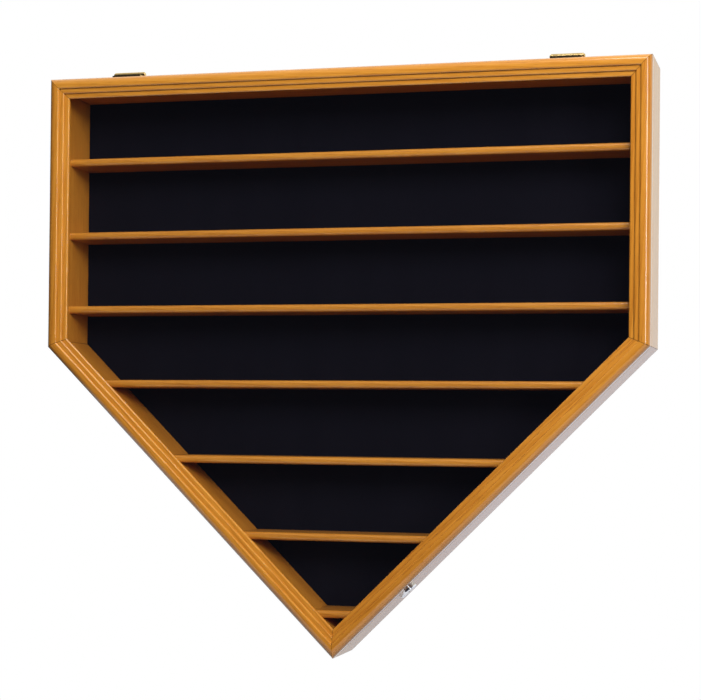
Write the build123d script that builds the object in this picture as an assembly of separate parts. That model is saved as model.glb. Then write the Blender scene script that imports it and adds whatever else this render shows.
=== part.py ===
"""A wall display cabinet for baseballs, shaped like a home plate, with a top-hung door.

Millimetres, +Z up. The door faces -Y and the wall is the plane Y = 0. The origin is the middle of the
top rail's back edge, where the cabinet bears on the wall. X = 0 is the plane of symmetry.
"""

import os
from math import sqrt

from build123d import *

# Overall shape
CASE_WIDTH = 750.0
SIDE_HEIGHT = 336.5
OVERALL_DEPTH = 98.0

# Case boards
BOARD = 18.0
EASED_EDGE = 1.0

# Back panel and felt
REAR_RIM = 14.0
REAR_RECESS = 4.5
PANEL_THICKNESS = 5.0
PANEL_PLAY = 0.2
FELT_THICKNESS = 1.5
FELT_PLAY = 0.3
BRAD_DIAMETER = 1.2
BRAD_HEAD = 2.4
BRAD_HEAD_THICKNESS = 0.6
BRAD_LENGTH = 16.0
TOP_BRADS = 6

# Shelves
SHELF_COUNT = 7
SHELF_THICKNESS = 9.5
TOP_BAY = 79.5
LAST_SHELF_ABOVE_APEX = 55.5
SHELF_SETBACK = 7.0
SHELF_NOSE = 4.2
DADO = 4.0
DADO_PLAY = 0.1

# Door frame, a stepped moulding seen from the front
DOOR_THICKNESS = 20.0
DOOR_GAP = 1.0
BAND_OUTER = 13.0
BAND_MIDDLE = 6.0
BAND_INNER = 6.0
STEP = 3.0
LIP_THICKNESS = 3.0
OUTER_ROUND = 8.0
BAND_ROUND = 2.2
REBATE = 7.5

# Clear panel and the strips that hold it
PANE_THICKNESS = 2.5
PANE_PLAY = 0.5
RETAINER_WIDTH = 5.5
RETAINER_HEIGHT = 4.5
RETAINER_ROUND = 1.2

# Bumpers between door and case
BUMPER_DIAMETER = 8.0
BUMPER_PLAY = 0.1
BUMPER_FROM_CORNER = 60.0

# Butt hinges
HINGE_LENGTH = 38.0
HINGE_FROM_END = 100.5
BARREL = 7.5
HINGE_PIN = 4.0
PIN_PLAY = 0.05
PIN_HEAD = 6.0
PIN_HEAD_HEIGHT = 1.6
PIN_HEAD_ROUND = 1.3
LEAF_THICKNESS = 1.75
LEAF_WIDTH = 12.5
LEAF_CORNER = 1.5
END_KNUCKLE = 6.5
KNUCKLE_GAP = 0.3
HINGE_SCREW_SPACING = 22.0

# Small wood screws
SCREW_HEAD = 4.8
SCREW_SHANK = 2.6
SCREW_LENGTH = 10.0
SCREW_TIP = 2.5
SCREW_RECESS_WIDTH = 0.6
SCREW_RECESS_LENGTH = 2.8
SCREW_RECESS_DEPTH = 1.0

# Key lock on the lower right diagonal
LOCK_FROM_APEX = 119.0
LOCK_HEAD = 24.0
LOCK_HEAD_HEIGHT = 4.5
LOCK_HEAD_BEVEL = 1.5
LOCK_BARREL = 16.0
LOCK_HOLE_PLAY = 0.25
LOCK_BARREL_PAST_NUT = 0.5
LOCK_PLUG = 11.0
PLUG_FLANGE = 14.0
PLUG_FLANGE_THICKNESS = 1.5
PLUG_PLAY = 0.1
PLUG_END_PLAY = 0.3
KEYWAY_WIDTH = 1.6
KEYWAY_LENGTH = 7.5
KEYWAY_DEPTH = 12.0
NUT_ACROSS_FLATS = 20.0
NUT_THICKNESS = 3.5
CAM_WIDTH = 9.0
CAM_HUB = 14.0
CAM_TANG = 7.0
CAM_PAST_STRIKE = 3.5
CAM_STRIP_CLEARANCE = 1.0
CAM_THICKNESS = 2.0
CAM_SCREW = 4.0
CAM_SCREW_LENGTH = 8.0
CAM_SCREW_HEAD = 7.0
CAM_SCREW_HEAD_HEIGHT = 2.0
CAM_SCREW_SLOT = 0.8
CAM_SCREW_SLOT_DEPTH = 1.0

# Strike on the door, hooked over the cam
STRIKE_THICKNESS = 1.5
STRIKE_LENGTH = 27.0
STRIKE_FROM_EDGE = 3.5
STRIKE_WALL_CLEARANCE = 1.0
STRIKE_STEM = 2.2
STRIKE_CAM_CLEARANCE = 1.0
STRIKE_HOOK = 3.5
STRIKE_HOOK_PAST_CAM = 1.7
STRIKE_SCREW_SPACING = 12.0
STRIKE_NUT_CLEARANCE = 1.45

# Keyhole hangers in the back edges of the sides
HANGER_WIDTH = 12.0
HANGER_LENGTH = 42.0
HANGER_THICKNESS = 1.5
HANGER_DROP = 45.0
HANGER_PLAY = 0.15
HANGER_SCREW_SPACING = 32.0
KEYHOLE_HEAD = 8.0
KEYHOLE_SLOT = 4.2
KEYHOLE_TRAVEL = 10.0
KEYHOLE_CAVITY = 7.0
KEYHOLE_CAVITY_PLAY = 0.8

# Places worked out from the sizes above
TOP = REAR_RIM / 2
SHOULDER = TOP - SIDE_HEIGHT
APEX = SHOULDER - CASE_WIDTH / 2
DOOR_FRONT = -OVERALL_DEPTH
DOOR_BACK = DOOR_FRONT + DOOR_THICKNESS
CASE_FRONT = DOOR_BACK + DOOR_GAP
PANEL_BACK = -REAR_RECESS
PANEL_FRONT = PANEL_BACK - PANEL_THICKNESS
FELT_FRONT = PANEL_FRONT - FELT_THICKNESS
SHELF_FRONT = CASE_FRONT + SHELF_SETBACK
DOOR_WIDTH = BAND_OUTER + BAND_MIDDLE + BAND_INNER
REBATE_INSET = DOOR_WIDTH - REBATE
PANE_FRONT = DOOR_FRONT + 2 * STEP + LIP_THICKNESS
PANE_BACK = PANE_FRONT + PANE_THICKNESS
RETAINER_BACK = PANE_BACK + RETAINER_HEIGHT
BUMPER_THICKNESS = DOOR_GAP - BUMPER_PLAY
FIRST_SHELF_TOP = TOP - BOARD - TOP_BAY
LAST_SHELF_TOP = APEX + LAST_SHELF_ABOVE_APEX
SHELF_PITCH = (FIRST_SHELF_TOP - LAST_SHELF_TOP) / (SHELF_COUNT - 1)
HINGE_X = CASE_WIDTH / 2 - HINGE_FROM_END
HINGE_AXIS_Y = (DOOR_BACK + CASE_FRONT) / 2
HINGE_AXIS_Z = TOP + BARREL / 2
LEAF_START = BARREL / 2 + KNUCKLE_GAP
HINGE_SCREW_FROM_AXIS = (LEAF_START + LEAF_WIDTH) / 2
LOCK_BARREL_END = BOARD + NUT_THICKNESS + LOCK_BARREL_PAST_NUT
PLUG_END = LOCK_BARREL_END + PLUG_END_PLAY
CAM_END = PLUG_END + CAM_THICKNESS
STRIKE_START = NUT_ACROSS_FLATS / sqrt(3) + STRIKE_NUT_CLEARANCE
STRIKE_INNER = BOARD + STRIKE_WALL_CLEARANCE
STRIKE_BASE_EDGE = STRIKE_INNER + STRIKE_STEM
CAM_REACH = STRIKE_START + STRIKE_THICKNESS + CAM_PAST_STRIKE
LOCK_Y = RETAINER_BACK + CAM_STRIP_CLEARANCE + CAM_REACH

SIDES = ("top", "right", "lower_right", "lower_left", "left")
CORNERS = (
    Vector(-CASE_WIDTH / 2, 0, TOP),
    Vector(CASE_WIDTH / 2, 0, TOP),
    Vector(CASE_WIDTH / 2, 0, SHOULDER),
    Vector(0, 0, APEX),
    Vector(-CASE_WIDTH / 2, 0, SHOULDER),
)


def corner(index, inset):
    """Corner of the home plate outline, moved in by the same inset on both of its sides."""
    here = CORNERS[index % len(CORNERS)]
    before = (here - CORNERS[index - 1]).normalized()
    after = (CORNERS[(index + 1) % len(CORNERS)] - here).normalized()
    inward = (inward_normal(before) + inward_normal(after)).normalized()
    return here + inward * (inset / inward.dot(inward_normal(after)))


def inward_normal(direction):
    """Normal in the X-Z plane that points into the outline, which runs clockwise from the front."""
    return Vector(direction.Z, 0, -direction.X)


def flat(points):
    """Vectors as points of a sketch whose X and Y are the model's X and Z."""
    return [(point.X, point.Z) for point in points]


def prism(points, front, back):
    """Upright plate with the given outline in X and Z, between two Y planes."""
    sketch = Plane.XZ.offset(-back) * Polygon(*flat(points), align=None)
    return extrude(sketch, amount=back - front, dir=(0, -1, 0))


def home_plate(inset, front, back):
    """Plate in the home plate outline, smaller by the inset all round."""
    return prism([corner(index, inset) for index in range(len(CORNERS))], front, back)


def wedge(side, inner):
    """Space of one mitred member: its own side of the outline, cut on the corners' bisectors."""
    ends = [corner(side, 0), corner(side + 1, 0), corner(side + 1, inner), corner(side, inner)]
    return prism(ends, DOOR_FRONT, 0)


def side_direction(side):
    """Unit vector along one side, clockwise from the front."""
    return (corner(side + 1, 0) - corner(side, 0)).normalized()


def side_length(side):
    """Length of one side's outer edge."""
    return (corner(side + 1, 0) - corner(side, 0)).length


def section_plane(side):
    """Plane of a member's section: X runs inward from the outer face and Y is the model's Y."""
    direction = side_direction(side)
    start = corner(side, 0) - direction * CASE_WIDTH / 2
    return Plane(origin=start, x_dir=inward_normal(direction), z_dir=direction)


def mitred(side, section, inner):
    """Member of one side with the given section, mitred at both ends."""
    bar = extrude(section_plane(side) * section, amount=2 * CASE_WIDTH, dir=side_direction(side))
    return bar & wedge(side, inner)


def face_plane(side, along, y, inset=0.0):
    """Plane on a member's outer face: Z points inward, Y is the model's Y, X runs back to its start."""
    direction = side_direction(side)
    inward = inward_normal(direction)
    origin = corner(side, 0) + direction * along + inward * inset + Vector(0, y, 0)
    return Plane(origin=origin, x_dir=-direction, z_dir=inward)


def rounded_rectangle(x_start, x_end, y_start, y_end, radii):
    """Rectangle in a sketch; radii are for the corners (low, low), (high, low), (high, high), (low, high)."""
    shape = Pos((x_start + x_end) / 2, (y_start + y_end) / 2) * Rectangle(x_end - x_start, y_end - y_start)
    places = ((x_start, y_start), (x_end, y_start), (x_end, y_end), (x_start, y_end))
    for (x, y), radius in zip(places, radii):
        if radius > 0:
            nearest = shape.vertices().sort_by_distance((x, y, 0))[0]
            shape = fillet(nearest, radius)
    return shape


def x_cylinder(diameter, start, end):
    """Cylinder along X between two X values."""
    return Pos((start + end) / 2, 0, 0) * Rot(0, 90, 0) * Cylinder(diameter / 2, end - start)


def z_cylinder(diameter, start, end):
    """Cylinder along Z between two Z values."""
    return Pos(0, 0, (start + end) / 2) * Cylinder(diameter / 2, end - start)


def block(x_range, y_range, z_range):
    """Box between two values on each axis."""
    spans = [high - low for low, high in (x_range, y_range, z_range)]
    middles = [(high + low) / 2 for low, high in (x_range, y_range, z_range)]
    return Pos(*middles) * Box(*spans)


def screw_blank():
    """What one countersunk wood screw fills: along -Z, with the top of its head at Z = 0."""
    outline = [
        (0, 0),
        (SCREW_HEAD / 2, 0),
        (SCREW_SHANK / 2, -(SCREW_HEAD - SCREW_SHANK) / 2),
        (SCREW_SHANK / 2, -SCREW_LENGTH + SCREW_TIP),
        (0, -SCREW_LENGTH),
    ]
    return revolve(Plane.XZ * Polygon(*outline, align=None), Axis.Z)


def wood_screw():
    """Countersunk wood screw with a cross recess."""
    half_length = SCREW_RECESS_LENGTH / 2
    half_width = SCREW_RECESS_WIDTH / 2
    depth = (-SCREW_RECESS_DEPTH, 0)
    slot = block((-half_length, half_length), (-half_width, half_width), depth)
    return screw_blank() - slot - Rot(0, 0, 90) * slot


def brad():
    """Panel brad along -Z with a flat head, its top at Z = 0."""
    shank = z_cylinder(BRAD_DIAMETER, -BRAD_LENGTH, 0)
    return shank + z_cylinder(BRAD_HEAD, -BRAD_HEAD_THICKNESS, 0)


def group(shapes):
    """Separate solids kept as one sub-part."""
    return Compound([solid for shape in shapes for solid in shape.solids()])


def carve(shape, cutters):
    """The shape with every cutter taken out of it."""
    for cutter in cutters:
        shape = shape - cutter
    return shape


def half_width(z, inset):
    """Half the width of the outline at a height, moved in by the inset."""
    return min(CASE_WIDTH / 2 - inset, z - APEX - inset * sqrt(2))


def shelf_top(number):
    """Height of a shelf's upper face, counted from 1 at the top."""
    return FIRST_SHELF_TOP - (number - 1) * SHELF_PITCH


def bay_middle(number):
    """Middle height of the bay over a shelf."""
    ceiling = TOP - BOARD if number == 1 else shelf_top(number - 1) - SHELF_THICKNESS
    return (ceiling + shelf_top(number)) / 2


def shelf_board(number, play=0.0):
    """Shelf with a rounded nose, its ends cut to the sides and let into them by the dado."""
    z_high = shelf_top(number) + play
    z_low = shelf_top(number) - SHELF_THICKNESS
    radii = (SHELF_NOSE, 0, 0, SHELF_NOSE)
    section = rounded_rectangle(SHELF_FRONT, FELT_FRONT, z_low, z_high, radii)
    board = extrude(Plane.YZ.offset(-CASE_WIDTH / 2) * section, amount=CASE_WIDTH)
    return board & home_plate(BOARD - DADO, SHELF_FRONT, FELT_FRONT)


def shelf_numbers():
    """Shelf numbers from the top."""
    return range(1, SHELF_COUNT + 1)


def brad_planes():
    """Places of the brads: spaced along the top, and one on each side of every bay."""
    inset = (REAR_RIM + BOARD) / 2
    spacing = CASE_WIDTH / TOP_BRADS
    spots = [(spacing * (number + 0.5) - CASE_WIDTH / 2, TOP - inset) for number in range(TOP_BRADS)]
    for number in shelf_numbers():
        z = bay_middle(number)
        spots += [(half_width(z, inset), z), (-half_width(z, inset), z)]
    return [Plane(origin=(x, PANEL_BACK, z), x_dir=(1, 0, 0), z_dir=(0, 1, 0)) for x, z in spots]


def hanger_planes():
    """Planes of the two keyhole hangers: X runs up and Z points out of the back."""
    z = TOP - HANGER_DROP
    x = CASE_WIDTH / 2 - REAR_RIM / 2
    return [Plane(origin=(side * x, 0, z), x_dir=(0, 0, 1), z_dir=(0, 1, 0)) for side in (-1, 1)]


def hanger_screw_planes():
    """Planes of the four screws that hold the hangers."""
    reach = HANGER_SCREW_SPACING / 2
    return [plane.location * Pos(along, 0, 0) for plane in hanger_planes() for along in (-reach, reach)]


def keyhole():
    """Round entry below and a narrow slot above it, through a hanger plate."""
    entry = Pos(-KEYHOLE_TRAVEL / 2, 0, 0) * z_cylinder(KEYHOLE_HEAD, -HANGER_THICKNESS, 0)
    slot = extrude(SlotCenterToCenter(KEYHOLE_TRAVEL, KEYHOLE_SLOT), amount=-HANGER_THICKNESS)
    return entry + slot


def hanger_plate(play=0.0):
    """Blank of one hanger, with round ends."""
    slot = SlotOverall(HANGER_LENGTH + 2 * play, HANGER_WIDTH + 2 * play)
    return extrude(slot, amount=-HANGER_THICKNESS)


def hanger():
    """Keyhole hanger plate with two screw holes."""
    plate = hanger_plate() - keyhole()
    reach = HANGER_SCREW_SPACING / 2
    return carve(plate, [Pos(along, 0, 0) * screw_blank() for along in (-reach, reach)])


def hanger_pocket():
    """Recess for a hanger and the room behind its keyhole for a screw head."""
    width = KEYHOLE_HEAD + 2 * KEYHOLE_CAVITY_PLAY
    cavity = SlotOverall(KEYHOLE_TRAVEL + width, width)
    return hanger_plate(HANGER_PLAY) + extrude(cavity, amount=-HANGER_THICKNESS - KEYHOLE_CAVITY)


def hinge_locations():
    """Middle of each hinge's pin, left and right."""
    return [Pos(side * HINGE_X, HINGE_AXIS_Y, HINGE_AXIS_Z) for side in (-1, 1)]


def hinge_screw_spots(direction):
    """Screw places in a leaf, from the pin's middle; direction is 1 for the case and -1 for the door."""
    reach = HINGE_SCREW_SPACING / 2
    height = -BARREL / 2 + LEAF_THICKNESS
    return [Pos(along, direction * HINGE_SCREW_FROM_AXIS, height) for along in (-reach, reach)]


def hinge_screw_places(direction):
    """Screw places in the leaves of both hinges."""
    spots = hinge_screw_spots(direction)
    return [place * spot for place in hinge_locations() for spot in spots]


def hinge_leaf(knuckles, bore):
    """Leaf that runs to +Y from the pin, with its knuckles between pairs of X values."""
    low = -BARREL / 2
    high = low + LEAF_THICKNESS
    half = HINGE_LENGTH / 2
    outline = rounded_rectangle(-half, half, LEAF_START, LEAF_WIDTH, (0, 0, LEAF_CORNER, LEAF_CORNER))
    leaf = extrude(Plane.XY.offset(low) * outline, amount=LEAF_THICKNESS)
    for first, last in knuckles:
        leaf += x_cylinder(BARREL, first, last) + block((first, last), (0, LEAF_START), (low, high))
    leaf -= x_cylinder(bore, -half, half)
    return carve(leaf, [spot * screw_blank() for spot in hinge_screw_spots(1)])


def hinge_pin():
    """Pin with a domed head at each end."""
    end = HINGE_LENGTH / 2 + KNUCKLE_GAP
    pin = x_cylinder(HINGE_PIN, -end, end)
    head = x_cylinder(PIN_HEAD, end, end + PIN_HEAD_HEIGHT)
    rim = head.edges().filter_by(GeomType.CIRCLE).sort_by(Axis.X)[-1]
    head = fillet(rim, PIN_HEAD_ROUND)
    return pin + head + mirror(head, about=Plane.YZ)


def lock_location():
    """Middle of the lock on the outer face: Z points into the case and X along the diagonal, upward."""
    side = SIDES.index("lower_right")
    return face_plane(side, side_length(side) - LOCK_FROM_APEX, LOCK_Y).location


def lock_housing():
    """Round head on the outer face and a barrel through the board."""
    head = z_cylinder(LOCK_HEAD, -LOCK_HEAD_HEIGHT, 0)
    rim = head.edges().filter_by(GeomType.CIRCLE).sort_by(Axis.Z)[0]
    head = fillet(rim, LOCK_HEAD_BEVEL)
    body = head + z_cylinder(LOCK_BARREL, 0, LOCK_BARREL_END)
    bore = LOCK_PLUG + 2 * PLUG_PLAY
    seat = PLUG_FLANGE + 2 * PLUG_PLAY
    body -= z_cylinder(bore, -LOCK_HEAD_HEIGHT, LOCK_BARREL_END)
    return body - z_cylinder(seat, -LOCK_HEAD_HEIGHT, -LOCK_HEAD_HEIGHT + PLUG_FLANGE_THICKNESS)


def lock_plug():
    """Plug with a keyway in its face and a square tang for the cam."""
    flange_back = -LOCK_HEAD_HEIGHT + PLUG_FLANGE_THICKNESS - PLUG_PLAY
    plug = z_cylinder(LOCK_PLUG, -LOCK_HEAD_HEIGHT, PLUG_END)
    plug += z_cylinder(PLUG_FLANGE, -LOCK_HEAD_HEIGHT, flange_back)
    half = CAM_TANG / 2
    plug += block((-half, half), (-half, half), (PLUG_END, CAM_END))
    keyway = (-KEYWAY_WIDTH / 2, KEYWAY_WIDTH / 2)
    length = (-KEYWAY_LENGTH / 2, KEYWAY_LENGTH / 2)
    plug -= block(keyway, length, (-LOCK_HEAD_HEIGHT, -LOCK_HEAD_HEIGHT + KEYWAY_DEPTH))
    return plug - z_cylinder(CAM_SCREW, CAM_END - CAM_SCREW_LENGTH, CAM_END)


def lock_cam():
    """Cam on the plug's inner end, pointing to the door when the lock is open."""
    half = CAM_WIDTH / 2
    cam = z_cylinder(CAM_HUB, PLUG_END, CAM_END)
    cam += block((-half, half), (-CAM_REACH, 0), (PLUG_END, CAM_END))
    tang = CAM_TANG / 2
    return cam - block((-tang, tang), (-tang, tang), (PLUG_END, CAM_END))


def lock_cam_screw():
    """Slotted screw that holds the cam on the plug."""
    top = CAM_END + CAM_SCREW_HEAD_HEIGHT
    screw = z_cylinder(CAM_SCREW_HEAD, CAM_END, top)
    screw += z_cylinder(CAM_SCREW, CAM_END - CAM_SCREW_LENGTH, CAM_END)
    half = CAM_SCREW_HEAD / 2
    slot = CAM_SCREW_SLOT / 2
    return screw - block((-half, half), (-slot, slot), (top - CAM_SCREW_SLOT_DEPTH, top))


def lock_nut():
    """Hexagon nut on the barrel, against the board's inner face."""
    hexagon = RegularPolygon(NUT_ACROSS_FLATS / 2, 6, major_radius=False)
    nut = extrude(Plane.XY.offset(BOARD) * hexagon, amount=NUT_THICKNESS)
    return nut - z_cylinder(LOCK_BARREL, BOARD, BOARD + NUT_THICKNESS)


def strike_base():
    """Plate let into the back of the door."""
    y_high = DOOR_BACK - LOCK_Y
    x_range = (STRIKE_START, STRIKE_START + STRIKE_LENGTH)
    return block(x_range, (y_high - STRIKE_THICKNESS, y_high), (STRIKE_FROM_EDGE, STRIKE_BASE_EDGE))


def strike_screw_spots():
    """Screws in the strike's base, from the lock's middle."""
    middle = STRIKE_START + STRIKE_LENGTH / 2
    reach = STRIKE_SCREW_SPACING / 2
    z = (STRIKE_FROM_EDGE + REBATE_INSET) / 2
    return [Pos(middle + along, DOOR_BACK - LOCK_Y, z) * Rot(-90, 0, 0) for along in (-reach, reach)]


def lock_strike():
    """Strike with a stem beside the cam and a hook behind it."""
    x_range = (STRIKE_START, STRIKE_START + STRIKE_THICKNESS)
    root = DOOR_BACK - LOCK_Y - STRIKE_THICKNESS
    hook = CAM_WIDTH / 2 + STRIKE_CAM_CLEARANCE
    strike = strike_base()
    strike += block(x_range, (root, hook + STRIKE_HOOK), (STRIKE_INNER, STRIKE_BASE_EDGE))
    strike += block(x_range, (hook, hook + STRIKE_HOOK), (STRIKE_INNER, CAM_END + STRIKE_HOOK_PAST_CAM))
    return carve(strike, [spot * screw_blank() for spot in strike_screw_spots()])


def case_section():
    """Case board: eased outer edges and a rebate at the back for the panel."""
    outline = Polygon(
        (0, CASE_FRONT),
        (BOARD, CASE_FRONT),
        (BOARD, PANEL_FRONT),
        (REAR_RIM, PANEL_FRONT),
        (REAR_RIM, 0),
        (0, 0),
        align=None,
    )
    eased = [(0, CASE_FRONT), (BOARD, CASE_FRONT), (0, 0)]
    return round_corners(outline, [(place, EASED_EDGE) for place in eased])


def door_section():
    """Door moulding: three bands that step back to the opening, and a rebate behind for the panel."""
    middle = DOOR_FRONT + STEP
    inner = middle + STEP
    second = BAND_OUTER + BAND_MIDDLE
    outline = Polygon(
        (0, DOOR_FRONT),
        (BAND_OUTER, DOOR_FRONT),
        (BAND_OUTER, middle),
        (second, middle),
        (second, inner),
        (DOOR_WIDTH, inner),
        (DOOR_WIDTH, PANE_FRONT),
        (REBATE_INSET, PANE_FRONT),
        (REBATE_INSET, DOOR_BACK),
        (0, DOOR_BACK),
        align=None,
    )
    bands = [(BAND_OUTER, DOOR_FRONT), (second, middle), (DOOR_WIDTH, inner)]
    rounds = [((0, DOOR_FRONT), OUTER_ROUND), ((0, DOOR_BACK), EASED_EDGE)]
    return round_corners(outline, rounds + [(place, BAND_ROUND) for place in bands])


def round_corners(outline, rounds):
    """The sketch with the corners nearest to the given places rounded."""
    for (x, y), radius in rounds:
        nearest = outline.vertices().sort_by_distance((x, y, 0))[0]
        outline = fillet(nearest, radius)
    return outline


def retainer_section():
    """Strip that holds the clear panel in the door's rebate."""
    end = REBATE_INSET + RETAINER_WIDTH
    return rounded_rectangle(REBATE_INSET, end, PANE_BACK, RETAINER_BACK, (0, 0, RETAINER_ROUND, 0))


def case_boards():
    """The five boards of the case, with the cuts for what they carry."""
    names = ("top_rail", "right_side", "right_diagonal", "left_diagonal", "left_side")
    cutters = [shelf_board(number, DADO_PLAY) for number in shelf_numbers()]
    cutters += [plane * brad() for plane in brad_planes()]
    cutters += [plane * hanger_pocket() for plane in hanger_planes()]
    cutters += [place * screw_blank() for place in hanger_screw_planes() + hinge_screw_places(1)]
    cutters.append(lock_location() * z_cylinder(LOCK_BARREL + 2 * LOCK_HOLE_PLAY, 0, BOARD))
    boards = {}
    for side, name in enumerate(names):
        board = mitred(side, case_section(), BOARD)
        near = board.bounding_box()
        boards[f"case_{name}"] = carve(board, [cut for cut in cutters if touches(near, cut)])
    return boards


def touches(box, shape):
    """Whether a shape's bounding box meets another box."""
    other = shape.bounding_box()
    return all(
        (
            box.min.X <= other.max.X and other.min.X <= box.max.X,
            box.min.Y <= other.max.Y and other.min.Y <= box.max.Y,
            box.min.Z <= other.max.Z and other.min.Z <= box.max.Z,
        )
    )


def door_members():
    """The five members of the door, with the cuts for hinge screws and the strike."""
    names = ("top_rail", "right_stile", "right_diagonal", "left_diagonal", "left_stile")
    cutters = [place * screw_blank() for place in hinge_screw_places(-1)]
    cutters.append(lock_location() * strike_base())
    cutters += [lock_location() * spot * screw_blank() for spot in strike_screw_spots()]
    members = {}
    for side, name in enumerate(names):
        member = mitred(side, door_section(), DOOR_WIDTH)
        near = member.bounding_box()
        members[f"door_{name}"] = carve(member, [cut for cut in cutters if touches(near, cut)])
    return members


def retainers():
    """The five strips behind the clear panel."""
    inner = REBATE_INSET + RETAINER_WIDTH
    return {f"retainer_{name}": mitred(side, retainer_section(), inner) for side, name in enumerate(SIDES)}


def back():
    """Back panel, felt and brads."""
    brads = [plane * brad() for plane in brad_planes()]
    panel = carve(home_plate(REAR_RIM + PANEL_PLAY, PANEL_FRONT, PANEL_BACK), brads)
    felt = home_plate(BOARD + FELT_PLAY, FELT_FRONT, PANEL_FRONT)
    return {"back_panel": panel, "felt_lining": felt, "back_panel_brads": group(brads)}


def shelves():
    """The seven shelves."""
    return {f"shelf_{number}": shelf_board(number) for number in shelf_numbers()}


def hangers():
    """The two keyhole hangers and their screws."""
    left, right = [plane * hanger() for plane in hanger_planes()]
    screws = group([place * wood_screw() for place in hanger_screw_planes()])
    return {"left_wall_hanger": left, "right_wall_hanger": right, "wall_hanger_screws": screws}


def hinges():
    """Two butt hinges with their screws."""
    half = HINGE_LENGTH / 2
    inner = half - END_KNUCKLE
    middle = [(-inner + KNUCKLE_GAP, inner - KNUCKLE_GAP)]
    ends = [(-half, -inner), (inner, half)]
    case_leaf = hinge_leaf(middle, HINGE_PIN)
    door_leaf = mirror(hinge_leaf(ends, HINGE_PIN + 2 * PIN_PLAY), about=Plane.XZ)
    pieces = {}
    for name, place in zip(("left", "right"), hinge_locations()):
        pieces[f"{name}_hinge_case_leaf"] = place * case_leaf
        pieces[f"{name}_hinge_door_leaf"] = place * door_leaf
        pieces[f"{name}_hinge_pin"] = place * hinge_pin()
    for name, direction in (("case", 1), ("door", -1)):
        screws = [place * wood_screw() for place in hinge_screw_places(direction)]
        pieces[f"hinge_{name}_screws"] = group(screws)
    return pieces


def lock():
    """Key lock in the case and its strike on the door."""
    place = lock_location()
    screws = group([place * spot * wood_screw() for spot in strike_screw_spots()])
    return {
        "lock_housing": place * lock_housing(),
        "lock_nut": place * lock_nut(),
        "lock_plug": place * lock_plug(),
        "lock_cam": place * lock_cam(),
        "lock_cam_screw": place * lock_cam_screw(),
        "lock_strike": place * lock_strike(),
        "lock_strike_screws": screws,
    }


def pane_and_bumpers():
    """Clear panel of the door and the bumpers on its back."""
    pane = home_plate(REBATE_INSET + PANE_PLAY, PANE_FRONT, PANE_BACK)
    bumpers = []
    for name in ("right", "lower_right", "lower_left", "left"):
        side = SIDES.index(name)
        along = BUMPER_FROM_CORNER
        if name.endswith("right"):
            along = side_length(side) - BUMPER_FROM_CORNER
        origin = face_plane(side, along, DOOR_BACK, BOARD / 2).origin
        plane = Plane(origin=origin, x_dir=(1, 0, 0), z_dir=(0, 1, 0))
        bumpers.append(plane * z_cylinder(BUMPER_DIAMETER, 0, BUMPER_THICKNESS))
    return {"acrylic_panel": pane, "door_bumpers": group(bumpers)}


def main():
    """Build every sub-part and write one file for each."""
    case = case_boards() | back() | shelves() | hangers()
    door = door_members() | retainers() | pane_and_bumpers()
    pieces = case | door | hinges() | lock()
    os.makedirs("parts", exist_ok=True)
    for name, shape in pieces.items():
        export_step(shape, f"parts/{name}.step")


main()
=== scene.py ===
"""Finish of a wall display cabinet shaped like a home plate, with seven shelves and a top-hung door.

Metres, +Z up. The door faces -Y and the wall is the plane Y = 0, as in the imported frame.
"""

import logging
import math
from dataclasses import dataclass, field, replace
from enum import Enum

import bpy
from mathutils import Matrix, Vector, noise

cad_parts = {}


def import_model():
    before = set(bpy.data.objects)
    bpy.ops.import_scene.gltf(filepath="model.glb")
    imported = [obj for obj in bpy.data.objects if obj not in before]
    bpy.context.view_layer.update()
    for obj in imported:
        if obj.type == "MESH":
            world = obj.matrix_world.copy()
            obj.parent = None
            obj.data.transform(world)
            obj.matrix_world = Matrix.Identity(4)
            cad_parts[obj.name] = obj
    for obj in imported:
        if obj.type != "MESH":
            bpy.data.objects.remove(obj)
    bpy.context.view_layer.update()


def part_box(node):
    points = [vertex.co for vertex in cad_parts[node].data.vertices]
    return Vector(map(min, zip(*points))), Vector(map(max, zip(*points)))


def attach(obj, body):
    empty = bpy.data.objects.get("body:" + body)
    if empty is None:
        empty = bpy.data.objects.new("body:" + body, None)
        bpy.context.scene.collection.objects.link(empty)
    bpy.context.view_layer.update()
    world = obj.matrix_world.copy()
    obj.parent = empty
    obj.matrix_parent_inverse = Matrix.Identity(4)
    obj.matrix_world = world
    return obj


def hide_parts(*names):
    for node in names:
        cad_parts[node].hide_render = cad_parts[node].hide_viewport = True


MM = 0.001
MIDDLE = 0.5
QUARTER_TURN = math.radians(90.0)

Colour = tuple[float, float, float]
Scale = tuple[float, float, float]
Ramp = tuple[float, float]

WHITE: Colour = (1.0, 1.0, 1.0)

log = logging.getLogger("cabinet")


def rgba(colour: Colour) -> tuple[float, float, float, float]:
    """Opaque colour for a node's socket."""
    return (*colour, 1.0)


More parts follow.
